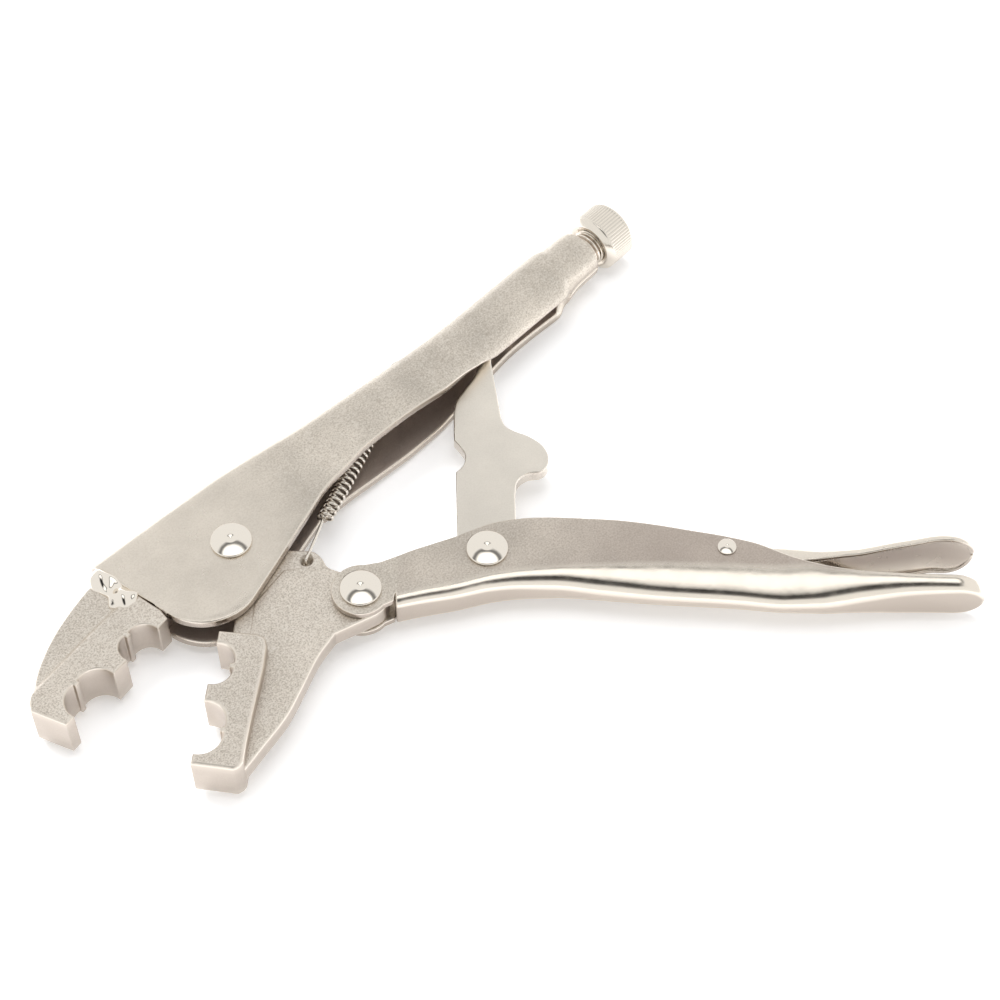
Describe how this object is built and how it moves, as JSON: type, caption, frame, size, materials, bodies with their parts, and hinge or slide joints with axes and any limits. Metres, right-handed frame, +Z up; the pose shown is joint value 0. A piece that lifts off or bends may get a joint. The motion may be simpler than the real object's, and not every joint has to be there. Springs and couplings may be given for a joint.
{
  "type": "locking pliers",
  "caption": "Locking pliers with an over-centre toggle, notched round-gripping jaws, a screw-adjusted upper handle and a release lever in the lower handle.",
  "frame": {"origin": "middle of the underside of the pliers' box, lying on one side as drawn", "axes": "+X along the upper handle and its screw towards the knob, +Z up along the rivets, +Y from the lower handle towards the spine of the upper handle"},
  "size_m": [0.2094, 0.1648, 0.016],
  "materials": {
    "nickel_sheet": "nickel plate over formed sheet steel, bright on the rounded backs and matt on the flanks",
    "nickel_forging": "nickel plate over grit-blasted forged steel",
    "weld": "plated weld bead, glossy and lumpy",
    "rivet_steel": "plated low domes, bright",
    "screw_steel": "plated, turned and knurled",
    "spring_steel": "plated spring wire"
  },
  "bodies": {
    "upper": {"upper_handle": "nickel_sheet", "fixed_jaw": "nickel_forging", "top_weld": "weld", "bottom_weld": "weld", "jaw_rivet": "rivet_steel", "return_spring": "spring_steel"},
    "jaw": {"movable_jaw": "nickel_forging", "handle_rivet": "rivet_steel"},
    "lower": {"lower_handle": "nickel_sheet", "link_rivet": "rivet_steel", "lever_rivet": "rivet_steel"},
    "link": {"toggle_link": "nickel_forging"},
    "lever": {"release_lever": "nickel_sheet"},
    "tip": {"screw_tip": "screw_steel"},
    "screw": {"adjusting_screw": "screw_steel", "adjusting_knob": "screw_steel"}
  },
  "joints": [
    {"name": "jaw_pivot", "type": "hinge", "parent": "upper", "child": "jaw", "pos_m": [-0.04035, 0.06147, 0.008], "axis": [0, 0, -1], "range_deg": [0, 28.5], "stiffness_Nm_per_rad": 0.25, "springref_deg": -34.38, "deforming": ["return_spring"]},
    {"name": "handle_pivot", "type": "hinge", "parent": "jaw", "child": "lower", "pos_m": [-0.02875, 0.02867, 0.008], "axis": [0, 0, 1], "range_deg": [0, 69.9]},
    {"name": "link_pivot", "type": "hinge", "parent": "lower", "child": "link", "pos_m": [0.00041, 0.01416, 0.008], "axis": [0, 0, -1], "range_deg": [0, 62.5]},
    {"name": "lever_pivot", "type": "hinge", "parent": "lower", "child": "lever", "pos_m": [0.04023, -0.02856, 0.008], "axis": [0, 0, -1], "range_deg": [0, 7]},
    {"name": "screw_travel", "type": "slide", "parent": "upper", "child": "tip", "axis": [1, 0, 0], "range_m": [-0.0035, 0.02]},
    {"name": "screw_turn", "type": "hinge", "parent": "tip", "child": "screw", "pos_m": [0.07965, 0.06392, 0.008], "axis": [1, 0, 0], "range_deg": [-1009, 5761]}
  ],
  "couplings": [
    {"joint": "handle_pivot", "follows": "jaw_pivot", "ratio": 2.4491},
    {"joint": "link_pivot", "follows": "jaw_pivot", "ratio": 2.1895},
    {"joint": "screw_turn", "follows": "screw_travel", "rad_per_m": 5026.5}
  ]
}
